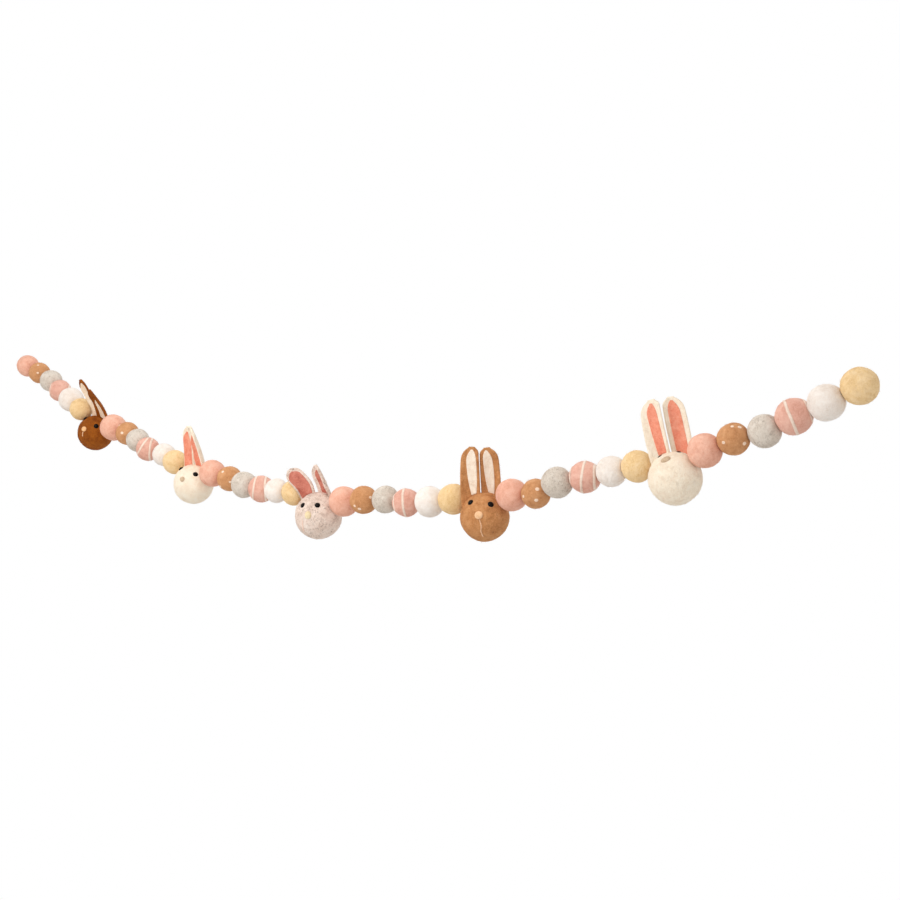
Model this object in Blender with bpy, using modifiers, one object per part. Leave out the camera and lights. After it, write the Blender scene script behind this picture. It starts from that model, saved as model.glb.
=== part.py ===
"""A hung garland of felted wool balls and felt rabbit heads on one taut thread.

Metres, with +Z up. The garland runs along +X and the rabbits look along -Y. The origin is
where the thread leaves the outer side of the first ball, at the upper left.
"""

import math
from dataclasses import dataclass

import bmesh
import bpy
from mathutils import Matrix, Vector, noise

MM = 0.001

# The thread hangs as a chain: each piece that it carries turns it a little upwards.
FIRST_SLOPE = -0.512
THREAD_PULL = 57.1  # its level pull, in weights of one ball
BALL_WEIGHT = 1.0
HEAD_WEIGHT = 4.0
GAP = 0.3 * MM  # left between two pieces that touch
HEAD_PRESS = 0.5 * MM  # how far a head and the ball beside it press together

KINDS = ("pink", "brown", "grey", "striped", "white", "mustard")

# Diameters in millimetres: a row for each run of balls, a column for each kind above.
BALL_DIAMETERS = (
    (24.0, 23.0, 24.0, 23.5, 26.5, 24.0),
    (27.5, 24.0, 23.5, 24.0, 23.0, 24.0),
    (26.0, 24.0, 25.0, 25.0, 22.5, 23.5),
    (27.0, 24.5, 24.0, 24.0, 26.0, 25.5),
    (26.0, 23.5, 24.5, 24.5, 23.5, 24.0),
    (25.0, 23.0, 23.5, 25.5, 25.0, 25.0),
)

# How far each ball sits above the thread's line, in millimetres, laid out as above.
BALL_RISES = (
    (-1.0, 1.5, 2.5, 1.0, 1.0, 0.5),
    (-0.5, 1.5, 1.5, -1.0, 0.0, -1.0),
    (0.5, 0.0, -1.5, -1.5, 0.5, 2.0),
    (-1.5, 1.0, 2.0, -0.5, 0.0, 1.5),
    (-0.5, -2.5, 3.0, 3.0, 3.0, 2.0),
    (-2.0, -1.0, -3.0, -1.0, -0.5, 1.0),
)

# How far each ball sits behind that line, in millimetres, laid out as above.
BALL_SHIFTS = (
    (1.5, 2.0, 3.0, 1.5, 0.5, -2.0),
    (4.0, 4.0, 1.0, -1.5, 1.5, -1.5),
    (0.5, 1.5, -0.5, -0.5, -2.5, -2.5),
    (1.5, -1.0, 0.5, -0.5, 0.5, 0.0),
    (1.5, 0.5, -2.0, 0.5, 1.0, 1.0),
    (-1.5, -1.0, 0.5, 0.0, 0.0, 0.0),
)

# How closely each ball after a run's first sits to the one before, as a share of their radii.
BALL_SPACINGS = (
    (0.96, 0.95, 0.92, 0.94, 0.95),
    (0.93, 0.90, 0.90, 0.93, 0.91),
    (0.93, 0.92, 0.93, 0.92, 0.97),
    (0.97, 0.97, 0.97, 0.97, 0.97),
    (0.93, 0.92, 0.96, 0.95, 0.92),
    (0.94, 0.96, 0.93, 0.94, 0.96),
)

BALL_SEGMENTS, BALL_RINGS = 12, 9
HEAD_SEGMENTS, HEAD_RINGS = 18, 12
LUMP = 0.35 * MM  # how far the hand-rolled wool swells and dips
LUMP_SIZE = 11 * MM

EAR_THICKNESS = 2.2 * MM
EAR_CLEARANCE = GAP + 0.75 * EAR_THICKNESS  # from the middle of its felt to another piece
EAR_APART = 0.6 * GAP + EAR_THICKNESS / 2  # from the middle of its felt to the plane between two ears
EAR_ROOT_RISE = 7.0 * MM  # above a head's middle, inside the head
EAR_ROUND_FROM = 0.8  # the share of the length where the round tip begins
EAR_TIP_NARROWEST = 0.3
EAR_CURL_AT_TIP = 0.45  # what is left there of the curl of the edges
EAR_LEAN_AT_ROOT = 0.35  # the share of the lean that an ear has from its root
EAR_LEAN_ALL_FROM = 0.65  # the share of the length where it leans in full
EAR_ACROSS, EAR_ALONG = 6, 9  # faces of the ear's sheet each way

NOSE_WIDTH, NOSE_RISE = 7.0 * MM, 1.3 * MM
NOSE_SEGMENTS, NOSE_RINGS = 10, 6


@dataclass(frozen=True)
class Ear:
    """One ear: its sizes in millimetres, and how it leans and turns in degrees."""

    length: float
    width: float
    beside: float  # its root's distance beside the head's middle
    before: float  # its root's distance before the head's middle
    side: float  # lean of the tip towards the garland's right end
    front: float  # lean of the tip towards the face
    twist: float  # turn of the inner side towards the garland's right end
    curl: float  # how far the edges curl towards the face


@dataclass(frozen=True)
class Head:
    """One rabbit head, with its diameter and shift in millimetres and its turns in degrees."""

    wool: str
    diameter: float
    crown: float  # the thread's depth under its top
    back: float  # how far it sits behind the thread
    turn: float  # of the face towards the garland's right end
    nose_height: float  # angle of the nose above the middle of the face
    left: Ear
    right: Ear


HEADS = (
    Head(
        "brown", 37.0, 1.5, 5.0, 8, 16,
        Ear(54.5, 13.0, 3.0, -5.0, -28, 35, 3, 65),
        Ear(50.5, 16.0, 8.5, -8.0, -22, 44, -5, 80),
    ),
    Head(
        "white", 39.0, 3.0, 3.0, 10, 18,
        Ear(50.0, 14.0, 5.8, -1.0, -8, 14, -3, 60),
        Ear(56.5, 17.0, 8.0, -5.0, -13, 31, -21, 110),
    ),
    Head(
        "grey", 42.5, 5.0, 3.0, 16, 5,
        Ear(41.0, 16.0, 5.0, 2.0, -46, 14, 40, 48),
        Ear(42.0, 18.5, 10.0, -5.0, -24, 19, -32, 100),
    ),
    Head(
        "brown", 40.0, 5.0, 3.0, 21, 5,
        Ear(50.5, 17.5, 9.2, 2.5, 9, 8, 0, 45),
        Ear(48.5, 18.0, 6.6, -2.0, 2, 8, 12, 48),
    ),
    Head(
        "white", 39.0, 5.5, 2.0, 12, 44,
        Ear(53.2, 19.0, 4.7, 2.5, 3, -4, -4, 50),
        Ear(53.0, 17.5, 9.0, -3.5, 1, -9, 22, 47),
    ),
)

COLOURS = {
    "pink": (0.78, 0.42, 0.36),
    "brown": (0.50, 0.26, 0.14),
    "grey": (0.58, 0.54, 0.50),
    "striped": (0.76, 0.38, 0.32),
    "white": (0.86, 0.79, 0.70),
    "mustard": (0.76, 0.54, 0.27),
    "nose": (0.72, 0.52, 0.36),
}


@dataclass
class Strung:
    """A piece on the thread: its size, where it is and how it is turned."""

    kind: str
    radius: float
    weight: float
    rise: float
    shift: float
    spacing: float = 1.0  # from the ball before, as a share of their radii
    head: Head | None = None
    middle: Vector | None = None
    frame: Matrix | None = None


def clear_scene():
    for obj in list(bpy.data.objects):
        bpy.data.objects.remove(obj, do_unlink=True)


def collection(name):
    made = bpy.data.collections.new(name)
    bpy.context.scene.collection.children.link(made)
    return made


def wool(name, colour):
    """A matt felt material of one colour."""
    material = bpy.data.materials.get(name) or bpy.data.materials.new(name)
    material.use_nodes = True
    shader = material.node_tree.nodes["Principled BSDF"]
    shader.inputs["Base Color"].default_value = (*colour, 1)
    shader.inputs["Roughness"].default_value = 0.95
    shader.inputs["Metallic"].default_value = 0.0
    return material


def distance_along(before, after):
    """How far apart two neighbours sit along the thread: balls squash, a head gives less."""
    if not (before.head or after.head):
        return after.spacing * (before.radius + after.radius)
    touching = before.radius + after.radius - HEAD_PRESS
    return math.sqrt(
        touching**2 - (after.rise - before.rise) ** 2 - (after.shift - before.shift) ** 2
    )


def pieces_on_thread():
    """Every ball and head in order, with its size but not yet its place."""
    pieces = []
    for run, sizes in enumerate(zip(BALL_DIAMETERS, BALL_RISES, BALL_SHIFTS)):
        spacings = (1.0, *BALL_SPACINGS[run])
        for kind, diameter, rise, shift, spacing in zip(KINDS, *sizes, spacings):
            radius = diameter * MM / 2
            pieces.append(Strung(kind, radius, BALL_WEIGHT, rise * MM, shift * MM, spacing))
        if run < len(HEADS):
            head = HEADS[run]
            radius = head.diameter * MM / 2
            below = head.crown * MM - radius
            back = head.back * MM
            pieces.append(Strung(head.wool, radius, HEAD_WEIGHT, below, back, head=head))
    return pieces


def thread_frame(direction):
    """The turn that lays local X along the thread, with local Y to the back."""
    along = direction.normalized()
    back = Vector((0, 1, 0))
    return Matrix((along, back, along.cross(back))).transposed()


def hang(pieces):
    """Places the pieces along the chain that their weights give the thread."""
    slope = FIRST_SLOPE
    point = Vector((1, 0, slope)).normalized() * pieces[0].radius
    points, links = [point], []
    for before, after in zip(pieces, pieces[1:]):
        if links:
            slope += (before.weight + after.weight) / 2 / THREAD_PULL
        link = Vector((1, 0, slope)).normalized()
        point = point + link * distance_along(before, after)
        points.append(point)
        links.append(link)
    ends = [links[0], *links], [*links, links[-1]]
    for piece, point, before, after in zip(pieces, points, *ends):
        piece.frame = thread_frame(before + after)
        up = piece.frame.col[2]
        piece.middle = point + up * piece.rise + Vector((0, piece.shift, 0))


def presses(pieces, index):
    """Where a piece is pressed flat: the direction and distance of each neighbour's side."""
    found = []
    piece = pieces[index]
    for other in pieces[max(index - 1, 0) : index] + pieces[index + 1 : index + 2]:
        towards = other.middle - piece.middle
        share = piece.radius / (piece.radius + other.radius)
        found.append((towards.normalized(), towards.length * share - GAP / 2))
    return found


def felted_ball(piece, flats, segments, rings, seed, swell=0.0):
    """A lumpy felt ball about its own middle, its poles on the thread, pressed flat in places."""
    mesh = bmesh.new()
    turn = piece.frame.to_4x4() @ Matrix.Rotation(math.pi / 2, 4, "Y")
    bmesh.ops.create_uvsphere(
        mesh, u_segments=segments, v_segments=rings, radius=piece.radius, matrix=turn
    )
    for vertex in mesh.verts:
        place = vertex.co / LUMP_SIZE + Vector((seed * 3.7, seed * 1.3, 0))
        vertex.co += vertex.co.normalized() * LUMP * noise.noise(place)
        for direction, distance in flats:
            vertex.co -= direction * max(vertex.co.dot(direction) - distance, 0)
        vertex.co += vertex.co.normalized() * swell
    return mesh


def add_object(name, mesh, material, group, location):
    """An object at a place from a bmesh that is drawn about its own middle."""
    data = bpy.data.meshes.new(name)
    mesh.to_mesh(data)
    mesh.free()
    data.materials.append(material)
    data.shade_smooth()
    data.set_sharp_from_angle(angle=math.radians(50))
    made = bpy.data.objects.new(name, data)
    made.location = location
    group.objects.link(made)
    return made


def cut(target, cutter, solver="EXACT"):
    """Takes the cutter's space out of a piece."""
    modifier = target.modifiers.new(f"seat on {cutter.name}", "BOOLEAN")
    modifier.operation = "DIFFERENCE"
    modifier.solver = solver
    modifier.object = cutter


def ear_half_width(ear, along):
    """Half of the ear's width at a share of its length, with a round tip."""
    full = ear.width * MM / 2 * (0.92 + 0.08 * math.sin(math.pi * along))
    past = max(along - EAR_ROUND_FROM, 0) / (1 - EAR_ROUND_FROM)
    return full * math.sqrt(max(1 - past**2, EAR_TIP_NARROWEST**2))


def ear_spine(ear, right, share_count):
    """Points and directions along the middle of an ear, in its head's own axes."""
    beside = ear.beside if right else -ear.beside
    point = Vector((beside * MM, -ear.before * MM, EAR_ROOT_RISE))
    step = ear.length * MM / share_count
    found = []
    for number in range(share_count + 1):
        along = number / share_count
        bent = EAR_LEAN_AT_ROOT + (1 - EAR_LEAN_AT_ROOT) * min(along / EAR_LEAN_ALL_FROM, 1)
        side, front = math.radians(ear.side) * bent, math.radians(ear.front) * bent
        direction = Vector(
            (math.sin(side), -math.sin(front) * math.cos(side), math.cos(front) * math.cos(side))
        )
        found.append((point.copy(), direction))
        point = point + direction * step
    return found


def ears_divide(head):
    """The sideways place and slope, in height, of the plane on which a head's two ears meet."""
    left, right = ear_spine(head.left, False, EAR_ALONG), ear_spine(head.right, True, EAR_ALONG)
    root, tip = ((left[row][0] + right[row][0]) / 2 for row in (0, -1))
    slope = (tip.x - root.x) / (tip.z - root.z)
    return root.x - slope * root.z, slope


def keep_to_side(row, spine, divide, right):
    """Narrows a row of an ear's points on the side where it would pass the plane between the ears."""
    place, slope = divide
    side = -1 if right else 1
    room = (place + slope * spine.z - spine.x) * side - EAR_APART
    reach = max((point.x - spine.x) * side for point in row)
    if reach <= room:
        return
    for point in row:
        if (point.x - spine.x) * side > 0:
            point.x = spine.x + (point.x - spine.x) * room / reach


def keep_clear(point, balls, clearance):
    """Moves a point out of the balls that it would press into."""
    for middle, radius in balls:
        away = point - middle
        if away.length < radius + clearance:
            point = middle + away.normalized() * (radius + clearance)
    return point


def ear_row(ear, spine, direction, along):
    """The points across an ear at a share of its length, curled towards the face."""
    wide = Vector((1, 0, 0))
    wide = (wide - direction * wide.dot(direction)).normalized()
    turned = math.radians(ear.twist) * min(along * 2, 1)
    wide = Matrix.Rotation(turned, 3, direction) @ wide
    forward = wide.cross(direction)
    cup = math.radians(ear.curl) * (1 - (1 - EAR_CURL_AT_TIP) * along)
    bow = ear_half_width(ear, along) / cup
    angles = [cup * (2 * column / EAR_ACROSS - 1) for column in range(EAR_ACROSS + 1)]
    return [
        spine + wide * bow * math.sin(angle) + forward * bow * (1 - math.cos(angle))
        for angle in angles
    ]


def ear_sheet(ear, right, turn, balls, divide):
    """The curled felt sheet of one ear, about its head's middle, before it gets its thickness."""
    mesh = bmesh.new()
    rows = []
    for number, (spine, direction) in enumerate(ear_spine(ear, right, EAR_ALONG)):
        row = ear_row(ear, spine, direction, number / EAR_ALONG)
        keep_to_side(row, spine, divide, right)
        rows.append([mesh.verts.new(keep_clear(turn @ point, balls, EAR_CLEARANCE)) for point in row])
    for lower, upper in zip(rows, rows[1:]):
        for column in range(EAR_ACROSS):
            mesh.faces.new((lower[column], lower[column + 1], upper[column + 1], upper[column]))
    return mesh


def add_ear(name, sheet, head_object, cutter, group):
    """An ear of felt with its sheet's curl, its root cut to the head's round side."""
    material = head_object.data.materials[0]
    made = add_object(name, sheet, material, group, head_object.location)
    solid = made.modifiers.new("felt thickness", "SOLIDIFY")
    solid.thickness = EAR_THICKNESS
    solid.offset = 0
    cut(made, cutter, "MANIFOLD")


def add_nose(name, head, radius, turn, cutter, group, location):
    """A small felt pad on the face, hollowed where it lies on the head."""
    mesh = bmesh.new()
    bmesh.ops.create_uvsphere(
        mesh, u_segments=NOSE_SEGMENTS, v_segments=NOSE_RINGS, radius=NOSE_WIDTH / 2
    )
    flatten = Matrix.Scale(2 * NOSE_RISE / NOSE_WIDTH, 4, Vector((0, 0, 1)))
    lift = Matrix.Rotation(-math.radians(head.nose_height), 4, "X")
    outwards = Matrix.Translation((0, -radius, 0)) @ Matrix.Rotation(math.pi / 2, 4, "X")
    bmesh.ops.transform(mesh, matrix=turn.to_4x4() @ lift @ outwards @ flatten, verts=mesh.verts)
    made = add_object(name, mesh, wool("wool nose", COLOURS["nose"]), group, location)
    cut(made, cutter)


def add_head(pieces, index, number, group, cutters):
    """A head with its two ears and its nose."""
    piece = pieces[index]
    head, flats = piece.head, presses(pieces, index)
    name = f"head_{number}_{head.wool}"
    ball = felted_ball(piece, flats, HEAD_SEGMENTS, HEAD_RINGS, index)
    material = wool(f"wool {head.wool}", COLOURS[head.wool])
    made = add_object(name, ball, material, group, piece.middle)
    seat = felted_ball(piece, flats, HEAD_SEGMENTS, HEAD_RINGS, index, swell=GAP)
    cutter = add_object(f"{name} seat", seat, material, cutters, piece.middle)
    cutter.hide_render = True
    cutter.display_type = "WIRE"
    turn = piece.frame @ Matrix.Rotation(math.radians(head.turn), 3, "Z")
    balls = [
        (other.middle - piece.middle, other.radius)
        for other in (pieces[index - 1], pieces[index + 1])
    ]
    divide = ears_divide(head)
    for right, ear in enumerate((head.left, head.right)):
        side = "right" if right else "left"
        sheet = ear_sheet(ear, bool(right), turn, balls, divide)
        add_ear(f"ear_{number}_{side}", sheet, made, cutter, group)
    add_nose(f"nose_{number}", head, piece.radius, turn, cutter, group, piece.middle)


def main():
    clear_scene()
    garland, cutters = collection("Wool ball garland"), collection("Cutters")
    pieces = pieces_on_thread()
    hang(pieces)
    ball_number = head_number = 0
    for index, piece in enumerate(pieces):
        if piece.head:
            head_number += 1
            add_head(pieces, index, head_number, garland, cutters)
            continue
        ball_number += 1
        name = f"ball_{ball_number:02d}_{piece.kind}"
        mesh = felted_ball(piece, presses(pieces, index), BALL_SEGMENTS, BALL_RINGS, index)
        material = wool(f"wool {piece.kind}", COLOURS[piece.kind])
        add_object(name, mesh, material, garland, piece.middle)


main()
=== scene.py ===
"""The finished look of a hung garland of felted wool balls and felt rabbit heads.

Metres, with +Z up. The garland runs along +X and the rabbits look along -Y.
"""

import logging
import math
from collections.abc import Callable
from dataclasses import dataclass, field
from enum import Enum
from math import cos, pi, radians, sin, sqrt

import bmesh
import bpy
import numpy as np
from bmesh.types import BMesh, BMFace, BMVert
from bpy.types import Material, Mesh, Node, NodeSocket, Object
from mathutils import Matrix, Vector, noise


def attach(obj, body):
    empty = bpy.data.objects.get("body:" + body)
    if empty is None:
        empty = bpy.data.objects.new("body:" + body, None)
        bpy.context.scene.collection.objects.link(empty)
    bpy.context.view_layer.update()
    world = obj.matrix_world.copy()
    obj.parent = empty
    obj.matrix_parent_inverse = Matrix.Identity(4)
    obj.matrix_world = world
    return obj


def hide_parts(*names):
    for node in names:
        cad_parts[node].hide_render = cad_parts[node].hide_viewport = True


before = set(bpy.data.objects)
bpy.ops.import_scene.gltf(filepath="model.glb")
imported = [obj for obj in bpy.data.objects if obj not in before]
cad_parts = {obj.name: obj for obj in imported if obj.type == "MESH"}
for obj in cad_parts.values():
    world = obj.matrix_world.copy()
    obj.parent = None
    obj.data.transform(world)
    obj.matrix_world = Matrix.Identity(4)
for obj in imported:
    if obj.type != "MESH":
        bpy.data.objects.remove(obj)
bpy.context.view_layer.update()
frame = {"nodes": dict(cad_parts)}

MM = 0.001
log = logging.getLogger("garland")

Colour = tuple[float, float, float]
Flat = tuple[Vector, float]


def linear(colour: Colour) -> Colour:
    """A colour as it is seen, from 0 to 255, in linear light from 0 to 1."""
    shares = [part / 255 for part in colour]
    return tuple(s / 12.92 if s <= 0.04045 else ((s + 0.055) / 1.055) ** 2.4 for s in shares)


def facing(azimuth: float, height: float) -> Vector:
    """A direction, by degrees from the front to the garland's right end and upwards."""
    turned, up = radians(azimuth), radians(height)
    return Vector((sin(turned) * cos(up), -cos(turned) * cos(up), sin(up)))


def turn_to(direction: Vector) -> Matrix:
    """The turn that takes +Z to a direction."""
    return direction.to_track_quat("Z", "Y").to_matrix().to_4x4()


def as_mesh(name: str, made: BMesh) -> Mesh:
    """Moves a bmesh into a named mesh."""
    data = bpy.data.meshes.new(name)
    made.to_mesh(data)
    made.free()
    return data


def placed(name: str, data: bpy.types.ID) -> Object:
    """A named object in the scene, of a mesh, curve, light or camera."""
    made = bpy.data.objects.new(name, data)
    bpy.context.scene.collection.objects.link(made)
    return made


def worked(rough: Object) -> Mesh:
    """The mesh of an object with everything on it applied. The object is removed."""
    bpy.context.view_layer.update()
    data = bpy.data.meshes.new_from_object(rough.evaluated_get(bpy.context.evaluated_depsgraph_get()))
    bpy.data.objects.remove(rough, do_unlink=True)
    return data


def operator(operation: str, swapped: bool = False) -> Callable[["Value", object], "Value"]:
    """A method of Value that adds one Math node, with the other value first where swapped."""

    def method(self: "Value", other: object = 0.0) -> "Value":
        """Adds the node and gives its result."""
        return self.math(operation, *((other, self) if swapped else (self, other)))

    return method


class Value:
    """A number that changes over a surface: Python's operators on it add Math nodes."""

    def __init__(self, graph: "Graph", socket: NodeSocket) -> None:
        """Wraps one socket of a material's graph."""
        self.graph, self.socket = graph, socket

    def math(self, operation: str, first: object, second: object = 0.0, clamp: bool = False) -> "Value":
        """Adds one Math node for an operation and gives its result."""
        settings = {"operation": operation, "use_clamp": clamp}
        made = self.graph.node("ShaderNodeMath", settings, {0: first, 1: second})
        return Value(self.graph, made.outputs[0])

    __add__ = __radd__ = operator("ADD")
    __sub__, __rsub__ = operator("SUBTRACT"), operator("SUBTRACT", swapped=True)
    __mul__ = __rmul__ = operator("MULTIPLY")
    __abs__ = operator("ABSOLUTE")
    either = operator("MAXIMUM")  # the larger of the two values

    def clamped(self) -> "Value":
        """The value, kept from 0 to 1."""
        return self.math("ADD", self, 0.0, clamp=True)


class Graph:
    """The node graph of one material, read in Object coordinates, which are metres."""

    def __init__(self, name: str) -> None:
        """Starts a material with its Principled shader."""
        self.material = bpy.data.materials.new(name)
        self.material.use_nodes = True
        self.tree = self.material.node_tree
        self.shader = self.tree.nodes["Principled BSDF"]
        self.place = self.node("ShaderNodeTexCoord").outputs["Object"]

    def node(self, kind: str, settings: dict | None = None, inputs: dict | None = None) -> Node:
        """Adds a node.

        Args:
            kind: the node's type.
            settings: its own settings, with a ramp's stops as (position, colour) under "stops".
            inputs: what goes into its sockets, as values or links.

        Returns:
            The node.
        """
        made = self.tree.nodes.new(kind)
        for name, setting in (settings or {}).items():
            if name == "stops":
                band = made.color_ramp.elements
                while len(band) < len(setting):
                    band.new(0.5)
                for stop, (position, colour) in zip(band, setting):
                    stop.position, stop.color = position, (*colour, 1)
            else:
                setattr(made, name, setting)
        for name, given in (inputs or {}).items():
            self.feed(made.inputs[name], given)
        return made

    def feed(self, socket: NodeSocket, given: object) -> None:
        """Links a value or socket to a socket, or sets a plain number or colour on it."""
        given = given.socket if isinstance(given, Value) else given
        if isinstance(given, NodeSocket):
            self.tree.links.new(given, socket)
        else:
            socket.default_value = given

    def dressed(self, inputs: dict[str, object]) -> Material:
        """Feeds the shader's inputs and gives the finished material."""
        for name, given in inputs.items():
            self.feed(self.shader.inputs[name], given)
        return self.material

    def laid(self, turn: Colour, stretch: Colour, shift: Colour = (0.0, 0.0, 0.0)) -> NodeSocket:
        """The surface's coordinates, turned in degrees, stretched and shifted."""
        turned = tuple(radians(angle) for angle in turn)
        inputs = {"Vector": self.place, "Location": shift, "Rotation": turned, "Scale": stretch}
        return self.node("ShaderNodeMapping", {}, inputs).outputs[0]

    def noise(
        self, scale: float, detail: float = 2.0, distortion: float = 0.0, place: NodeSocket | None = None
    ) -> Value:
        """A cloudy value about 0.5.

        Args:
            scale: lumps in a metre.
            detail: how many finer layers it has.
            distortion: how far the lumps are pulled about.
            place: the coordinates, where they aren't the surface's own.

        Returns:
            The value.
        """
        inputs = {"Vector": place or self.place, "Scale": scale, "Detail": detail, "Distortion": distortion}
        return Value(self, self.node("ShaderNodeTexNoise", {}, inputs).outputs[0])

    def mix(self, share: object, first: object, second: object) -> NodeSocket:
        """A colour between two others."""
        made = self.node("ShaderNodeMix", {"data_type": "RGBA"}, {0: share, 6: first, 7: second})
        return made.outputs[2]

    def ramp(self, value: Value, *stops: tuple[float, Colour]) -> NodeSocket:
        """A colour from a value, by places and colours as seen."""
        stops = [(place, linear(colour)) for place, colour in stops]
        return self.node("ShaderNodeValToRGB", {"stops": stops}, {"Fac": value}).outputs[0]


class Wool(Enum):
    """The colours of wool in the garland."""

    PINK = "pink"
    BROWN = "brown"
    GREY = "grey"
    STRIPED = "striped"
    WHITE = "white"
    MUSTARD = "mustard"


@dataclass(frozen=True)
class Felt:
    """Felted wool: three shades of it as seen, and the loose strands on it."""

    name: str
    base: Colour
    pale: Colour
    deep: Colour
    fleck: Colour = (0.0, 0.0, 0.0)
    fleck_share: float = 0.0  # how much of it shows fibres of another shade
    cloud_size: float = 7.0 * MM
    strand_width: float = 1.0  # against the usual
    strands_in_metre: float = 520.0
    shade_shares: Colour = (0.48, 0.38, 0.14)  # of clouds, tufts and batches
    relief_shares: Colour = (0.4, 0.9, 0.55)  # of clouds, tufts and strands
    relief_depth: float = 0.45 * MM
    strand_paleness: float = 0.55

    @staticmethod
    def line(lumps: Value, narrowness: float) -> Value:
        """Thin lines along the middle value of a noise, from 0 beside them to 1 on them."""
        return (1 - abs(lumps - 0.5) * narrowness).clamped()

    def strands(self, graph: Graph) -> Value:
        """Fine curled fibres that cross each other, from 0 between them to 1 on them."""
        scale = self.strands_in_metre / self.strand_width
        lays = (  # turn, stretch and shift of each lay of fibres
            ((15.0, 70.0, 0.0), (1.0, 0.35, 0.8), (0.0, 0.0, 0.0)),
            ((60.0, 10.0, 80.0), (0.9, 0.4, 1.0), (0.3, 0.1, 0.7)),
            ((110.0, 40.0, 30.0), (1.0, 0.5, 0.5), (0.9, 0.4, 0.2)),
        )
        found = None
        for lay in lays:
            line = self.line(graph.noise(scale, 1.5, 1.4, graph.laid(*lay)), 16)
            found = found.either(line) if found else line
        return found

    def material(self) -> Material:
        """Builds the felt's material.

        Returns:
            A matt wool with clouds of shade, tufts, and fine strands in colour and relief.
        """
        graph = Graph(self.name)
        cloud = graph.noise(1 / self.cloud_size, 3.0, 0.6)
        tuft = graph.noise(640.0, 4.0, 1.6)
        strand = self.strands(graph)
        batch = graph.noise(24.0, 0.0)
        pale = (*linear(self.pale), 1)
        clouds, tufts, batches = self.shade_shares
        shade = cloud * clouds + tuft * tufts + batch * batches
        colour = graph.ramp(shade, (0.34, self.deep), (0.5, self.base), (0.68, self.pale))
        colour = graph.mix(strand * tuft * self.strand_paleness, colour, pale)
        if self.fleck_share:
            patches = graph.noise(150.0, 2.0, 1.0, graph.laid((0, 0, 40), (1, 1, 1), (0.5, 0.2, 0.1)))
            long_fibres = graph.noise(330.0, 2.0, 2.2, graph.laid((30, 20, 60), (1.0, 0.3, 0.6)))
            fibre = self.line(long_fibres, 22)
            marks = (fibre * ((patches - 0.42) * 6).clamped() * self.fleck_share).clamped()
            colour = graph.mix(marks, colour, (*linear(self.fleck), 1))
        clouds, tufts, strands = self.relief_shares
        height = strand * strands + tuft * tufts + cloud * clouds
        relief = {"Height": height, "Distance": self.relief_depth, "Strength": 0.75}
        return graph.dressed({
            "Base Color": colour,
            "Roughness": 0.97 - strand * 0.12,
            "Normal": graph.node("ShaderNodeBump", {}, relief).outputs[0],
            "Specular IOR Level": 0.18,
            "Sheen Weight": 0.22,
            "Sheen Roughness": 0.55,
            "Sheen Tint": pale,
        })


@dataclass(frozen=True)
class Glass:
    """The black glass of a bead eye."""

    name: str = "black bead"
    base: Colour = (5.0, 2.0, 1.0)
    pale: Colour = (20.0, 8.0, 6.0)

    def material(self) -> Material:
        """Builds a near black with faint clouds and tiny wear in its soft gloss."""
        graph = Graph(self.name)
        cloud, wear = graph.noise(900.0, 3.0, 0.5), graph.noise(4200.0, 2.0, 0.8)
        colour = graph.ramp(cloud, (0.4, self.base), (0.75, self.pale))
        gloss = {"Roughness": wear * 0.16 + 0.2, "Specular IOR Level": 0.12}
        return graph.dressed({"Base Color": colour, **gloss})


@dataclass(frozen=True)
class Board:
    """The pale floor of the studio."""

    name: str = "pale floor"
    base: Colour = (246.0, 245.0, 243.0)
    deep: Colour = (240.0, 239.0, 237.0)

    def material(self) -> Material:
        """Builds a plain matt white with the faintest clouds."""
        graph = Graph(self.name)
        colour = graph.ramp(graph.noise(3.0), (0.3, self.deep), (0.7, self.base))
        return graph.dressed({"Base Color": colour, "Roughness": 0.9})


FELTS = {
    Wool.PINK: Felt("pink felt", (236, 175, 150), (246, 198, 176), (218, 150, 124)),
    Wool.BROWN: Felt("brown felt", (204, 145, 98), (222, 168, 124), (178, 118, 74)),
    Wool.GREY: Felt("grey felt", (214, 201, 187), (231, 222, 211), (192, 177, 162), (132, 116, 100), 0.6),
    Wool.STRIPED: Felt("coral felt", (228, 172, 153), (240, 196, 178), (210, 146, 126)),
    Wool.WHITE: Felt("white felt", (243, 231, 221), (250, 243, 236), (232, 216, 202)),
    Wool.MUSTARD: Felt("mustard felt", (240, 204, 150), (249, 220, 178), (220, 180, 122)),
}
CARAMEL_FELT = Felt("caramel felt", (138, 70, 12), (168, 96, 28), (104, 46, 7))
TOFFEE_FELT = Felt("toffee felt", (192, 130, 80), (214, 158, 108), (158, 100, 56), (118, 72, 38), 0.5)
CREAM_FELT = Felt("cream felt", (247, 231, 208), (252, 242, 226), (236, 213, 188))
MARBLED_FELT = Felt("marbled felt", (232, 208, 193), (248, 233, 222), (192, 164, 147), (134, 108, 90), 0.85)
PEACH_YARN = Felt("peach yarn", (238, 190, 148), (250, 212, 176), (214, 160, 118), strand_width=0.8)
CREAM_YARN = Felt("cream yarn", (244, 220, 202), (250, 232, 218), (230, 198, 178), strand_width=0.8)
PEACH_WOOL = Felt("peach wool", (253, 222, 196), (255, 236, 216), (240, 196, 164), strand_width=0.8)
CORAL_LINING = Felt("coral lining", (238, 146, 118), (248, 178, 152), (222, 112, 88))
CREAM_LINING = Felt("cream lining", (244, 224, 202), (252, 240, 226), (224, 196, 170))
ROSE_LINING = Felt("rose lining", (200, 118, 100), (222, 150, 132), (168, 86, 72))
PUTTY_NOSE = Felt("putty nose", (204, 176, 146), (220, 198, 172), (178, 148, 118))
PEACH_NOSE = Felt("peach nose", (242, 192, 146), (250, 212, 172), (220, 164, 118))
PEACH_LINING = Felt("peach lining", (250, 226, 198), (255, 240, 220), (236, 200, 164))
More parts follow.
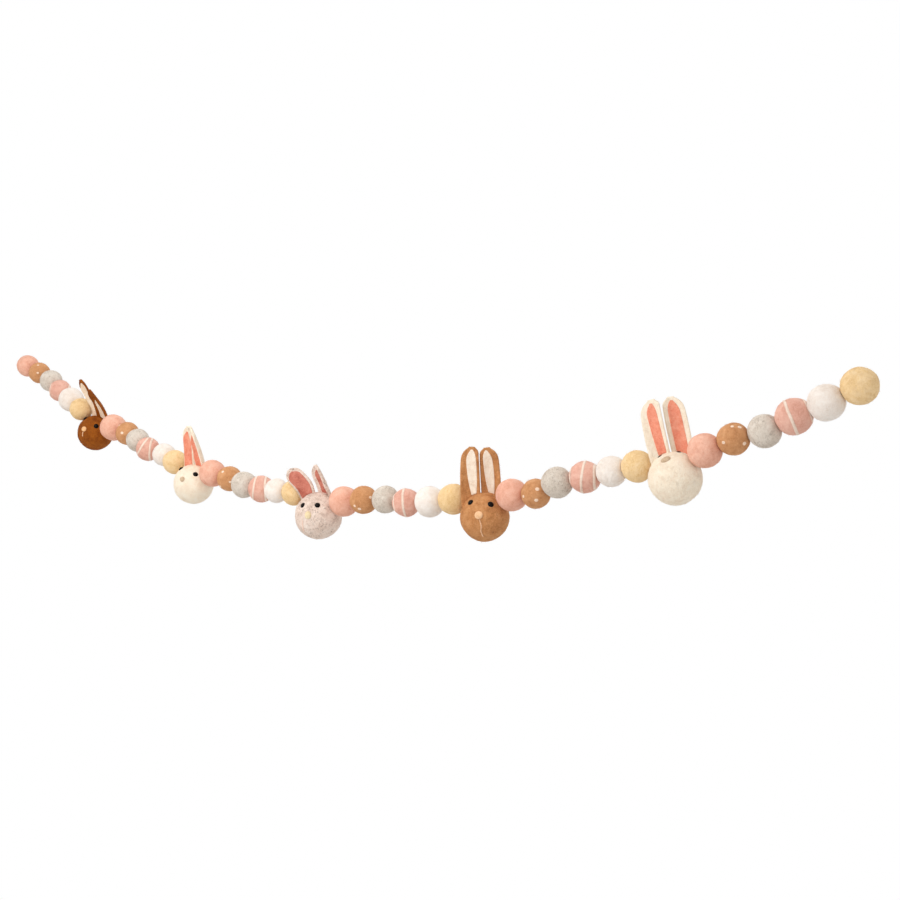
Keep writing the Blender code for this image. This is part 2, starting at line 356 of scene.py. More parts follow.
STRAW_NOSE = Felt("straw nose", (236, 214, 170), (246, 230, 196), (212, 186, 140))
TAN_NOSE = Felt("tan nose", (238, 184, 128), (248, 206, 160), (212, 152, 98))
ROSE_YARN = Felt("rose yarn", (250, 216, 196), (255, 230, 216), (232, 190, 168), strand_width=0.8)


@dataclass(frozen=True)
class LiningCut:
    """The felt patch inside an ear, as shares of the ear's own width and length."""

    top: float = 0.62  # its width near its top
    foot: float = 0.62  # its width at its foot
    taper: float = 1.0  # above 1 the foot is narrow for a shorter way
    shift: float = 0.0  # its middle, to the right, as a share of half the ear's width
    foot_shift: float = 0.0  # what its foot has besides
    end: float = 0.9  # where it ends along the ear


@dataclass(frozen=True)
class EarCut:
    """One ear: its sizes in millimetres, and how it leans and turns in degrees."""

    length: float
    width: float
    beside: float  # its root's distance beside the head's middle
    before: float  # its root's distance before the head's middle
    side: float  # lean of the tip towards the garland's right end
    front: float  # lean of the tip towards the face
    twist: float  # turn of the inner side towards the garland's right end
    curl: float  # how far the edges curl towards the face
    lining: LiningCut = LiningCut()


@dataclass(frozen=True)
class FaceCut:
    """Where a face's parts are, as degrees to the garland's right end and upwards."""

    left_eye: tuple[float, float]
    right_eye: tuple[float, float]
    nose_size: tuple[float, float]  # across and up, in millimetres
    nose: Felt
    lining: Felt
    mouth: tuple[tuple[float, float], ...] = ()
    mouth_yarn: Felt = PEACH_YARN
    nose_tilt: float = 0.0
    eyes_sunk: float = 0.55  # how deep the beads' middles lie under the wool, as a share of their radius


@dataclass(frozen=True)
class HeadCut:
    """One rabbit head, with its diameter and shift in millimetres and its turns in degrees."""

    wool: Wool
    diameter: float
    crown: float  # the thread's depth under its top
    back: float  # how far it sits behind the thread
    turn: float  # of the face towards the garland's right end
    nose_height: float  # angle of the nose above the middle of the face
    left: EarCut
    right: EarCut
    felt: Felt
    face: FaceCut


@dataclass
class Strung:
    """A piece on the thread: its size, where it is and how it is turned."""

    wool: Wool
    radius: float
    weight: float
    rise: float
    shift: float
    spacing: float = 1.0  # from the ball before, as a share of their radii
    head: HeadCut | None = None
    middle: Vector = field(default_factory=Vector)
    frame: Matrix = field(default_factory=lambda: Matrix.Identity(3))


@dataclass
class Thread:
    """The taut thread, hanging as a chain that each piece on it turns a little upwards."""

    heads: tuple[HeadCut, ...]
    first_slope: float = -0.512
    pull: float = 57.1  # its level pull, in weights of one ball
    head_weight: float = 4.0
    gap: float = 0.3 * MM
    head_press: float = 0.5 * MM
    # In millimetres: a row for each run of balls, a column for each colour of wool.
    diameters: tuple[tuple[float, ...], ...] = (
        (24.0, 23.0, 24.0, 23.5, 26.5, 24.0),
        (27.5, 24.0, 23.5, 24.0, 23.0, 24.0),
        (26.0, 24.0, 25.0, 25.0, 22.5, 23.5),
        (27.0, 24.5, 24.0, 24.0, 26.0, 25.5),
        (26.0, 23.5, 24.5, 24.5, 23.5, 24.0),
        (25.0, 23.0, 23.5, 25.5, 25.0, 25.0),
    )
    rises: tuple[tuple[float, ...], ...] = (
        (-1.0, 1.5, 2.5, 1.0, 1.0, 0.5),
        (-0.5, 1.5, 1.5, -1.0, 0.0, -1.0),
        (0.5, 0.0, -1.5, -1.5, 0.5, 2.0),
        (-1.5, 1.0, 2.0, -0.5, 0.0, 1.5),
        (-0.5, -2.5, 3.0, 3.0, 3.0, 2.0),
        (-2.0, -1.0, -3.0, -1.0, -0.5, 1.0),
    )
    shifts: tuple[tuple[float, ...], ...] = (
        (1.5, 2.0, 3.0, 1.5, 0.5, -2.0),
        (4.0, 4.0, 1.0, -1.5, 1.5, -1.5),
        (0.5, 1.5, -0.5, -0.5, -2.5, -2.5),
        (1.5, -1.0, 0.5, -0.5, 0.5, 0.0),
        (1.5, 0.5, -2.0, 0.5, 1.0, 1.0),
        (-1.5, -1.0, 0.5, 0.0, 0.0, 0.0),
    )
    # From the ball before, as a share of their radii, for each ball after a run's first.
    spacings: tuple[tuple[float, ...], ...] = (
        (0.96, 0.95, 0.92, 0.94, 0.95),
        (0.93, 0.90, 0.90, 0.93, 0.91),
        (0.93, 0.92, 0.93, 0.92, 0.97),
        (0.97, 0.97, 0.97, 0.97, 0.97),
        (0.93, 0.92, 0.96, 0.95, 0.92),
        (0.94, 0.96, 0.93, 0.94, 0.96),
    )

    def string(self) -> list[Strung]:
        """Threads every ball and head in order and hangs them.

        Returns:
            The pieces from the upper left end to the right end.
        """
        pieces = []
        for run, sizes in enumerate(zip(self.diameters, self.rises, self.shifts)):
            spacings = (1.0, *self.spacings[run])
            for wool, diameter, rise, shift, spacing in zip(Wool, *sizes, spacings):
                pieces.append(Strung(wool, diameter * MM / 2, 1.0, rise * MM, shift * MM, spacing))
            if run < len(self.heads):
                head = self.heads[run]
                radius = head.diameter * MM / 2
                rise, back = head.crown * MM - radius, head.back * MM
                pieces.append(Strung(head.wool, radius, self.head_weight, rise, back, head=head))
        self._hang(pieces)
        return pieces

    def _apart(self, before: Strung, after: Strung) -> float:
        """How far apart two neighbours sit along the thread."""
        if not (before.head or after.head):
            return after.spacing * (before.radius + after.radius)
        touching = before.radius + after.radius - self.head_press
        rise, shift = after.rise - before.rise, after.shift - before.shift
        return sqrt(touching**2 - rise**2 - shift**2)

    def _hang(self, pieces: list[Strung]) -> None:
        """Places the pieces along the chain that their weights give the thread."""
        slope = self.first_slope
        point = Vector((1, 0, slope)).normalized() * pieces[0].radius
        points, links = [point], []
        for before, after in zip(pieces, pieces[1:]):
            if links:
                slope += (before.weight + after.weight) / 2 / self.pull
            link = Vector((1, 0, slope)).normalized()
            point = point + link * self._apart(before, after)
            points.append(point)
            links.append(link)
        for piece, point, before, after in zip(pieces, points, [links[0], *links], [*links, links[-1]]):
            along, back = (before + after).normalized(), Vector((0, 1, 0))
            piece.frame = Matrix((along, back, along.cross(back))).transposed()
            piece.middle = point + piece.frame.col[2] * piece.rise + back * piece.shift

    def presses(self, pieces: list[Strung], index: int) -> list[Flat]:
        """Where a piece is pressed by its neighbours, as directions and distances."""
        piece, found = pieces[index], []
        for other in pieces[max(index - 1, 0) : index] + pieces[index + 1 : index + 2]:
            towards = other.middle - piece.middle
            share = piece.radius / (piece.radius + other.radius)
            found.append((towards.normalized(), towards.length * share - self.gap / 2))
        return found


class Workbench:
    """Keeps the finishes, and turns meshes into finished pieces of the garland."""

    def __init__(self) -> None:
        """Starts with no finish made yet."""
        self.materials: dict[str, Material] = {}

    def finish(self, look: Felt | Glass | Board) -> Material:
        """The material of a finish, made once."""
        if look.name not in self.materials:
            self.materials[look.name] = look.material()
        return self.materials[look.name]

    def piece(
        self,
        name: str,
        mesh: BMesh | Mesh,
        look: Felt | Glass,
        slot: str | None = None,
        node: str | None = None,
    ) -> Object:
        """Finishes a mesh as one piece of the garland.

        Args:
            name: the piece's name.
            mesh: its mesh, in place.
            look: its finish.
            slot: the record's material slot, where it has one; not used.
            node: the CAD node that it stands for.

        Returns:
            The piece's object, at the origin.
        """
        data = as_mesh(name, mesh) if isinstance(mesh, BMesh) else mesh
        data.materials.clear()
        data.materials.append(self.finish(look))
        data.shade_smooth()
        made = placed(name, data)
        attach(made, "root")
        if node:
            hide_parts(node)
        log.info("%s: %d faces", name, len(data.polygons))
        return made


@dataclass
class FeltBall:
    """One round of felted wool, hand rolled, and pressed soft where it meets its neighbours."""

    strung: Strung
    flats: list[Flat]
    seed: int
    subdivisions: int = 5
    lump: float = 0.35 * MM
    lump_size: float = 11.0 * MM
    dimple: float = 0.13 * MM
    dimple_size: float = 3.4 * MM
    softness: float = 0.22 * MM  # how gently the pressed places begin
    straight_from: float = 30.0  # times the softness, from where a pressed place is simply flat

    def skin(self, direction: Vector) -> Vector:
        """The point of its surface in a direction from its middle."""
        out = direction.normalized()
        point = out * self.strung.radius
        place = point / self.lump_size + Vector((self.seed * 3.7, self.seed * 1.3, 0))
        fine = point / self.dimple_size + Vector((self.seed * 1.9, 0, self.seed * 2.3))
        point = point + out * (self.lump * noise.noise(place) + self.dimple * noise.noise(fine))
        for flat, distance in self.flats:
            past = (point.dot(flat) - distance) / self.softness
            pressed = past if past > self.straight_from else math.log1p(math.exp(past))
            point = point - flat * self.softness * pressed
        return point

    def mesh(self) -> BMesh:
        """The ball's mesh, in place on the thread."""
        made = bmesh.new()
        bmesh.ops.create_icosphere(made, subdivisions=self.subdivisions, radius=self.strung.radius)
        for vertex in made.verts:
            vertex.co = self.skin(vertex.co) + self.strung.middle
        return made

    def lay(self, made: BMesh) -> None:
        """Drapes a mesh drawn on a perfect round of its size over its real skin, in place."""
        for vertex in made.verts:
            shift = self.skin(vertex.co).length - self.strung.radius
            vertex.co += vertex.co.normalized() * shift + self.strung.middle


@dataclass(frozen=True)
class Band:
    """One ring of yarn round a ball: its place as a share of the radius, and its turns in degrees."""

    place: float
    turn: float
    tilt: float
    width: float = 2.1 * MM


@dataclass
class YarnBands:
    """The rings of yarn that are felted into one ball."""

    ball: FeltBall
    bands: tuple[Band, ...]
    proud: float = 0.28 * MM
    wander: float = 0.35 * MM
    wander_size: float = 9.0 * MM
    sides: int = 8
    steps: int = 72

    def mesh(self) -> BMesh:
        """The rings' mesh, in place."""
        made = bmesh.new()
        radius = self.ball.strung.radius
        for band in self.bands:
            ring = bmesh.new()
            around = sqrt(1 - band.place**2) * radius
            bmesh.ops.create_circle(ring, segments=self.sides, radius=1.0)
            out = Vector((band.place, 0, sqrt(1 - band.place**2)))
            side = Vector((out.z, 0, -out.x))
            for vertex in ring.verts:
                flat = side * vertex.co.x * band.width / 2 + out * vertex.co.y * self.proud
                vertex.co = Vector((band.place * radius, 0, around)) + flat
            whole = {"axis": (1, 0, 0), "angle": 2 * pi, "steps": self.steps, "use_merge": True}
            bmesh.ops.spin(ring, geom=ring.edges[:], **whole)
            turn = Matrix.Rotation(radians(band.turn), 3, "Z")
            turn = self.ball.strung.frame @ turn @ Matrix.Rotation(-radians(band.tilt), 3, "Y")
            axis = turn.col[0]
            bmesh.ops.transform(ring, matrix=turn.to_4x4(), verts=ring.verts)
            for vertex in ring.verts:
                place = vertex.co / self.wander_size + Vector((self.ball.seed, band.place * 5, 3))
                vertex.co += axis * self.wander * noise.noise(place)
            bmesh.ops.recalc_face_normals(ring, faces=ring.faces)
            data = as_mesh("ring", ring)
            made.from_mesh(data)
            bpy.data.meshes.remove(data)
        self.ball.lay(made)
        return made


@dataclass
class WoolDots:
    """Small dots of paler wool that are needled into one ball."""

    ball: FeltBall
    seen: tuple[tuple[float, float], ...]  # in front, in degrees to the right end and upwards
    beside: tuple[tuple[float, float], ...] = ((100, 8), (-80, -12))
    radius: float = 1.45 * MM
    smallest: float = 0.85  # of the radius
    spread: float = 0.3  # from the smallest to the largest
    flatness: float = 0.86  # their height against their width
    proud: float = 0.24 * MM

    def places(self) -> list[Vector]:
        """The dots' directions: those of the front, the same round the back, and those beside."""
        angles = (*self.seen, *((a + 180, h) for a, h in self.seen), *self.beside)
        return [self.ball.strung.frame @ facing(*pair) for pair in angles]

    def mesh(self) -> BMesh:
        """The dots' mesh, in place."""
        made = bmesh.new()
        for number, out in enumerate(self.places()):
            size = self.radius * (self.smallest + self.spread * ((number * 7 + self.ball.seed) % 5) / 4)
            lift = Matrix.Translation((0, 0, self.ball.strung.radius))
            shape = Matrix.Diagonal((size, size * self.flatness, self.proud, 1))
            bmesh.ops.create_icosphere(made, subdivisions=3, radius=1.0, matrix=turn_to(out) @ lift @ shape)
        self.ball.lay(made)
        return made


@dataclass
class FeltEar:
    """One long felt ear with its curled edges and its lining."""

    cut: EarCut
    right: bool
    turn: Matrix
    balls: list[tuple[Vector, float]]
    divide: tuple[float, float]
    head: Strung
    clearance: float = 1.95 * MM  # from the middle of its felt to another piece
    off_divide: float = 0.258 * MM  # what its felt's middle keeps from the plane between the ears
    thickness: float = 2.2 * MM
    root_rise: float = 7.0 * MM
    root_depth: float = 2.0 * MM  # how deep inside the head it begins
    swell: float = 0.08  # how much wider it is at its middle
    round_from: float = 0.8
    tip_narrowest: float = 0.3
    curl_at_tip: float = 0.45
    lean_at_root: float = 0.35
    lean_all_from: float = 0.65
    twist_all_from: float = 0.5
    root_ends_by: float = 0.6
    root_step: float = 0.01
    steps: int = 9
    across_faces: int = 8
    along_faces: int = 16
    rounding: float = 0.5 * MM  # what the soft edges take off
    crowding: float = 1.4  # how much closer the rows lie towards the tip
    lining_thickness: float = 0.9 * MM
    lining_depth: float = 0.3 * MM
    lining_rise: float = 0.15  # its middle above the ear's face, as a share of its thickness
    lining_round_from: float = 0.75
    lining_blunt: float = 0.12  # how blunt its round end is

    @classmethod
    def spine(cls, cut: EarCut, right: bool) -> list[tuple[Vector, Vector]]:
        """Points and directions along the middle of an ear, in its head's own axes.

        Args:
            cut: the ear's sizes.
            right: whether it is the right ear.

        Returns:
            A point and a direction for each step's end.
        """
        point = Vector((cut.beside * MM * (1 if right else -1), -cut.before * MM, cls.root_rise))
        found = []
        for number in range(cls.steps + 1):
            leant = min(number / cls.steps / cls.lean_all_from, 1)
            bent = cls.lean_at_root + (1 - cls.lean_at_root) * leant
            side, front = radians(cut.side) * bent, radians(cut.front) * bent
            level = cos(side)
            direction = Vector((sin(side), -sin(front) * level, cos(front) * level))
            found.append((point.copy(), direction))
            point = point + direction * (cut.length * MM / cls.steps)
        return found

    @classmethod
    def dividing(cls, head: HeadCut) -> tuple[float, float]:
        """The sideways place and slope, in height, of the plane on which two ears meet."""
        sides = [cls.spine(head.left, False), cls.spine(head.right, True)]
        root, tip = ((sides[0][row][0] + sides[1][row][0]) / 2 for row in (0, -1))
        slope = (tip.x - root.x) / (tip.z - root.z)
        return root.x - slope * root.z, slope

    def _half_width(self, along: float) -> float:
        """Half of the ear's width at a share of its length, with a round tip."""
        swollen = 1 - self.swell + self.swell * sin(pi * along)
        full = self.cut.width * MM / 2 * swollen + self.rounding
        past = max(along - self.round_from, 0) / (1 - self.round_from)
        return full * sqrt(max(1 - past**2, self.tip_narrowest**2))

    def _raw(self, across: float, along: float) -> tuple[Vector, Vector, Vector]:
        """A point of the free ear's middle layer, its inward normal and its spine."""
        rows = self.spine(self.cut, self.right)
        number = min(int(along * self.steps), self.steps - 1)
        share = along * self.steps - number
        spine = rows[number][0].lerp(rows[number + 1][0], share)
        direction = rows[number][1].lerp(rows[number + 1][1], share).normalized()
        wide = Vector((1, 0, 0))
        wide = (wide - direction * wide.dot(direction)).normalized()
        turned = radians(self.cut.twist) * min(along / self.twist_all_from, 1)
        wide = Matrix.Rotation(turned, 3, direction) @ wide
        forward = wide.cross(direction)
        cup = radians(self.cut.curl) * (1 - (1 - self.curl_at_tip) * along)
        bow = self._half_width(along) / cup
        angle = cup * across
        point = spine + wide * bow * sin(angle) + forward * bow * (1 - cos(angle))
        return point, forward * cos(angle) - wide * sin(angle), spine

    def point(self, across: float, along: float, lift: float = 0.0) -> Vector:
        """A point of the ear about its head's middle.

        Args:
            across: from -1 at its left edge to 1 at its right edge.
            along: the share of its length.
            lift: how far in front of its middle layer, inside the curl.

        Returns:
            The point, kept off the other ear and the balls beside the head.
        """
        point, inward, spine = self._raw(across, along)
        place, slope = self.divide
        side = -1 if self.right else 1
        room = (place + slope * spine.z - spine.x) * side - self.off_divide
        edges = (self._raw(step / 3 - 1, along)[0] for step in range(7))
        reach = max((edge.x - spine.x) * side for edge in edges)
        if reach > room and (point.x - spine.x) * side > 0:
            point.x = spine.x + (point.x - spine.x) * room / reach
        point, inward = self.turn @ point, self.turn @ inward
        for middle, radius in self.balls:
            away = point - middle
            if away.length < radius + self.clearance:
                point = middle + away.normalized() * (radius + self.clearance)
        return point + inward * lift

    def leaves_head(self, across: float, depth: float) -> float:
        """The share of the length where a line up the ear comes out of the head."""
        along = 0.0
        inside = self.head.radius - depth
        while self.point(across, along).length < inside and along < self.root_ends_by:
            along += self.root_step
        return along

    def _curled(self, patch: LiningCut, depth: float, lift: float) -> BMesh:
        """A grid shaped as the ear or its lining.

        Args:
            patch: which part of the ear it covers.
            depth: how deep inside the head it begins.
            lift: how far in front of the ear's middle layer it lies.

        Returns:
            A bmesh about the head's middle.
        """
        made = bmesh.new()
        bmesh.ops.create_grid(made, x_segments=self.across_faces, y_segments=self.along_faces, size=1.0)
        starts: dict[float, float] = {}
        for vertex in made.verts:
            side, up = round(vertex.co.x, 4), 1 - ((1 - vertex.co.y) / 2) ** self.crowding
            middle = patch.shift + patch.foot_shift * (1 - up)
            if side not in starts:
                starts[side] = self.leaves_head(side * patch.foot + patch.shift + patch.foot_shift, depth)
            along = starts[side] + (patch.end - starts[side]) * up
            wide = patch.top + (patch.foot - patch.top) * (1 - up) ** patch.taper
            if patch.top < 1:
                past = max(up - self.lining_round_from, 0) / (1 - self.lining_round_from)
                wide *= sqrt(max(1 - past**2, self.lining_blunt))
            vertex.co = self.point(side * wide + middle, along, lift)
        return made

    def _settled(self, made: BMesh, thickness: float) -> Mesh:
        """Works a thickness and soft edges into a sheet, and sets it on the thread.

        Args:
            made: the sheet's middle layer, about the head's middle.
            thickness: how thick the felt is.

        Returns:
            The finished mesh, in place.
        """
        sheet = placed("sheet", as_mesh("sheet", made))
        solid = sheet.modifiers.new("thickness", "SOLIDIFY")
        solid.thickness, solid.offset = thickness, 0
        soft = sheet.modifiers.new("soft edges", "SUBSURF")
        soft.levels = soft.render_levels = 2
        data = worked(sheet)
        data.transform(Matrix.Translation(self.head.middle))
        return data

    def ear_mesh(self) -> Mesh:
        """The ear, from just inside the head to its tip."""
        whole = LiningCut(1.0, 1.0, end=1.01)
        return self._settled(self._curled(whole, self.root_depth, 0.0), self.thickness)

    def lining_mesh(self) -> Mesh:
        """The lining, on the inner side of the ear."""
        lift = self.thickness / 2 + self.lining_thickness * self.lining_rise
        return self._settled(self._curled(self.cut.lining, self.lining_depth, lift), self.lining_thickness)


@dataclass
class RabbitHead:
    """One round felt head with its ears, nose, eyes and stitched mouth."""

    bench: Workbench
    number: int
    ball: FeltBall
    neighbours: list[Strung]
    eye: float = 5.9 * MM
    nose_rise: float = 1.5 * MM
    nose_lumps: float = 0.18 * MM
    nose_lump_size: float = 2.4 * MM
    ply: float = 0.34 * MM  # radius of each of the mouth yarn's two plies
    ply_lift: float = 0.5  # of the yarn's middle over the wool, in ply radii
    ply_apart: float = 0.75  # of each ply from the yarn's middle, in ply radii
    twist: float = 3.2 * MM  # of the yarn, for one turn
    stitch_steps: int = 16

    def __post_init__(self) -> None:
        """Works out the face's own turn."""
        self.strung = self.ball.strung
        self.cut = self.strung.head
        self.turn = self.strung.frame @ Matrix.Rotation(radians(self.cut.turn), 3, "Z")

    def towards(self, azimuth: float, height: float) -> Vector:
        """A direction from the head's middle, by degrees to the garland's right end and upwards."""
        return self.strung.frame @ facing(azimuth, height)

    def build(self) -> list[Object]:
        """Builds the head and everything on it.

        Returns:
            The pieces that loose fibres stand off: the head and the ears.
        """
        wool = self.cut.wool
        name = f"felt_head_{self.number}"
        head = self.bench.piece(
            name, self.ball.mesh(), self.cut.felt, wool.value, f"head_{self.number}_{wool.value}"
        )
        ears = [self._ear(right) for right in (False, True)]
        self._nose()
        self._eyes()
        if self.cut.face.mouth:
            self._mouth()
        return [head, *ears]

    def _ear(self, right: bool) -> Object:
        side = "right" if right else "left"
        cut = self.cut.right if right else self.cut.left
        balls = [(other.middle - self.strung.middle, other.radius) for other in self.neighbours]
        ear = FeltEar(cut, right, self.turn, balls, FeltEar.dividing(self.cut), self.strung)
        node, wool = f"ear_{self.number}_{side}", self.cut.wool.value
        outer = self.bench.piece(f"felt_{node}", ear.ear_mesh(), self.cut.felt, wool, node)
        name = f"ear_lining_{self.number}_{side}"
        lining = self.bench.piece(name, ear.lining_mesh(), self.cut.face.lining)
        seen = cut.length * MM * (1 - ear.leaves_head(0.0, ear.root_depth))
        return outer

    def _nose(self) -> None:
        """Builds the small felt nose pad."""
        face = self.cut.face
        wide, tall = (size * MM / 2 for size in face.nose_size)
        made = bmesh.new()
        bmesh.ops.create_icosphere(made, subdivisions=4, radius=1.0)
        shape = Matrix.Diagonal((wide, tall, self.nose_rise, 1))
        tilted = Matrix.Rotation(radians(face.nose_tilt), 4, "Z")
        lift = Matrix.Rotation(-radians(self.cut.nose_height), 4, "X")
        outwards = Matrix.Translation((0, -self.strung.radius, 0)) @ Matrix.Rotation(pi / 2, 4, "X")
        matrix = self.turn.to_4x4() @ lift @ outwards @ tilted @ shape
        bmesh.ops.transform(made, matrix=matrix, verts=made.verts)
        for vertex in made.verts:
            lumps = noise.noise(vertex.co / self.nose_lump_size + Vector((self.number, 0, 0)))
            vertex.co += vertex.co.normalized() * self.nose_lumps * lumps
        self.ball.lay(made)
        nose = self.bench.piece(f"felt_nose_{self.number}", made, face.nose, "nose", f"nose_{self.number}")

    def _eyes(self) -> None:
        """Builds the two bead eyes, sunk into the wool."""
        for side, angles in (("left", self.cut.face.left_eye), ("right", self.cut.face.right_eye)):
            out = self.towards(*angles)
            made = bmesh.new()
            place = self.ball.skin(out) - out * self.eye / 2 * self.cut.face.eyes_sunk
            matrix = Matrix.Translation(place + self.strung.middle) @ turn_to(out)
            bmesh.ops.create_uvsphere(made, u_segments=28, v_segments=18, radius=self.eye / 2, matrix=matrix)
            self.bench.piece(f"bead_eye_{self.number}_{side}", made, Glass())

    def _mouth(self) -> None:
        """Builds the mouth of two-ply yarn, laid along the felt."""
        marks = [self.towards(*angles) for angles in self.cut.face.mouth]
        line = []
        for first, second in zip(marks, marks[1:]):
            line += [first.slerp(second, step / self.stitch_steps) for step in range(self.stitch_steps)]
        line.append(marks[-1])
        points = [self.ball.skin(out) + out * self.ply * self.ply_lift + self.strung.middle for out in line]
        made = bmesh.new()
        for phase in (0.0, pi):
            curve = bpy.data.curves.new("ply", "CURVE")
            curve.dimensions, curve.bevel_depth = "3D", self.ply
            curve.bevel_resolution, curve.use_fill_caps = 2, True
            spline = curve.splines.new("POLY")
            spline.points.add(len(points) - 1)
            run = 0.0
            for number, (spot, point) in enumerate(zip(spline.points, points)):
                ahead = points[min(number + 1, len(points) - 1)] - points[max(number - 1, 0)]
                if number:
                    run += (point - points[number - 1]).length
                sideways = ahead.cross(line[number]).normalized()
                angle = phase + 2 * pi * run / self.twist
                shift = sideways * cos(angle) + line[number] * sin(angle)
                spot.co = (*(point + shift * self.ply * self.ply_apart), 1)
            data = worked(placed("ply", curve))
            made.from_mesh(data)
            bpy.data.curves.remove(curve)
            bpy.data.meshes.remove(data)
        self.bench.piece(f"mouth_{self.number}", made, self.cut.face.mouth_yarn)


@dataclass
class LooseFibres:
    """The loose fibres that stand off felt of one colour, joined as one piece."""

    bench: Workbench
    wool: Wool
    look: Felt
    length: tuple[float, float] = (1.4 * MM, 3.6 * MM)
    thickness: float = 0.045 * MM
    lift: tuple[float, float] = (0.05 * MM, 0.75 * MM)
    bends: tuple[float, float] = (0.4, 2.6)  # in radians along a fibre
    arches: tuple[float, float] = (0.55, 1.0)  # how much of a whole arch each one rises in
    rooted: float = 0.03 * MM  # how deep the ends lie in the wool
    taper: float = 0.45
    rings: int = 4
    margin: float = 0.1  # round each fibre's place in the unwrap

    def _template(self) -> tuple[np.ndarray, np.ndarray, np.ndarray]:
        """One straight three-sided fibre of length 1.

        Returns:
            Its vertices, its triangles, and each triangle corner's place in its own unwrap.
        """
        made = bmesh.new()
        bmesh.ops.create_circle(made, cap_ends=True, segments=3, radius=1.0)
        top = made.faces[:]
        for ring in range(1, self.rings):
            grown = bmesh.ops.extrude_face_region(made, geom=top)["geom"]
            if ring > 1:
                bmesh.ops.delete(made, geom=top, context="FACES_ONLY")
            points = [part for part in grown if isinstance(part, BMVert)]
            bmesh.ops.translate(made, vec=(0, 0, 1 / (self.rings - 1)), verts=points)
            top = [part for part in grown if isinstance(part, BMFace)]
        bmesh.ops.recalc_face_normals(made, faces=made.faces)
        bmesh.ops.triangulate(made, faces=made.faces)
        made.verts.index_update()
        points = np.array([vertex.co[:] for vertex in made.verts])
        triangles = np.array([[corner.vert.index for corner in face.loops] for face in made.faces])
        made.free()
        around = np.round((np.arctan2(points[:, 1], points[:, 0]) / (2 * np.pi)) * 3) % 3
        corners = around[triangles]
        wraps = (corners.max(axis=1) - corners.min(axis=1)) > 1
        corners[wraps[:, None] & (corners == 0)] = 3
        unwrap = np.stack([points[triangles][:, :, 2], corners / 3], axis=2)
        return points, triangles, unwrap

    @staticmethod
    def _roots(piece: Object, count: int, dice: np.random.RandomState) -> tuple:
        """Random points on a piece's faces, with their normals."""
        data = piece.data
        data.calc_loop_triangles()
        corners = np.zeros(len(data.loop_triangles) * 3, dtype=np.int32)
        data.loop_triangles.foreach_get("vertices", corners)
        points = np.zeros(len(data.vertices) * 3)
        data.vertices.foreach_get("co", points)
        faces = points.reshape(-1, 3)[corners.reshape(-1, 3)]
        normals = np.cross(faces[:, 1] - faces[:, 0], faces[:, 2] - faces[:, 0])
        areas = np.linalg.norm(normals, axis=1)
        chosen = dice.choice(len(areas), size=count, p=areas / areas.sum())
        first, second = dice.rand(count, 1), dice.rand(count, 1)
        over = (first + second) > 1
        first, second = np.where(over, 1 - first, first), np.where(over, 1 - second, second)
        face = faces[chosen]
        roots = face[:, 0] + first * (face[:, 1] - face[:, 0]) + second * (face[:, 2] - face[:, 0])
        return roots, normals[chosen] / areas[chosen][:, None]

    def build(self, pieces: list[tuple[Object, int]]) -> Object:
        """Lays fibres over pieces and joins them.

        Args:
            pieces: the felt pieces, each with its number of fibres.

        Returns:
            The joined fibres.
        """
        dice = np.random.RandomState(11 + len(self.look.name) * 7 + len(pieces))
        found = [self._roots(piece, count, dice) for piece, count in pieces]
        roots = np.concatenate([roots for roots, _ in found])[:, None]
        normals = np.concatenate([normals for _, normals in found])
        count = len(normals)
        sides = np.cross(normals, dice.normal(size=(count, 3)))
        sides /= np.linalg.norm(sides, axis=1)[:, None]
        others = np.cross(normals, sides)[:, None]
        normals, sides = normals[:, None], sides[:, None]
        points, triangles, unwrap = self._template()
        share = points[None, :, 2:3]
        length = dice.uniform(*self.length, size=(count, 1, 1))
        bend = dice.uniform(*self.bends, size=(count, 1, 1)) * dice.choice([-1, 1], size=(count, 1, 1))
        low, high = self.lift
        lift = low + (high - low) * dice.rand(count, 1, 1) ** 2
        ends = dice.uniform(*self.arches, size=(count, 1, 1))
        turn = bend * share
        run = sides * np.sin(turn) + others * (1 - np.cos(turn))
        rise = lift * np.sin(np.pi * ends * share) - self.rooted
        wide = others * np.cos(turn) - sides * np.sin(turn)
        slim = self.thickness * (1 - self.taper * share)
        body = roots + run * length / bend + normals * rise
        body = body + slim * (points[None, :, 0:1] * wide + points[None, :, 1:2] * normals)
        faces = triangles[None] + np.arange(count)[:, None, None] * len(points)
        data = bpy.data.meshes.new("fibres")
        data.from_pydata(body.reshape(-1, 3), [], faces.reshape(-1, 3).tolist())
        cells = math.ceil(sqrt(count))
        corner = np.stack([np.arange(count) % cells, np.arange(count) // cells], axis=1)
        spread = (corner[:, None, None] + self.margin + (1 - 2 * self.margin) * unwrap[None]) / cells
        layer = data.uv_layers.new(name="OFBake")
        layer.data.foreach_set("uv", spread.astype(np.float32).ravel())
        name = f"loose_fibres_{self.look.name.replace(' ', '_')}"
        return self.bench.piece(name, data, self.look, self.wool.value)


@dataclass(frozen=True)
class SoftBox:
    """One soft square light."""

    name: str
    place: Colour
    aim: Colour
    size: float
    power: float  # in watts
    tint: Colour = (1.0, 1.0, 1.0)

    def hang(self) -> None:
        """Hangs the light in its place, aimed."""
        data = bpy.data.lights.new(self.name, "AREA")
        data.size, data.energy, data.color = self.size, self.power, self.tint
        turn = turn_to(Vector(self.place) - Vector(self.aim))
        placed(self.name, data).matrix_world = Matrix.Translation(self.place) @ turn


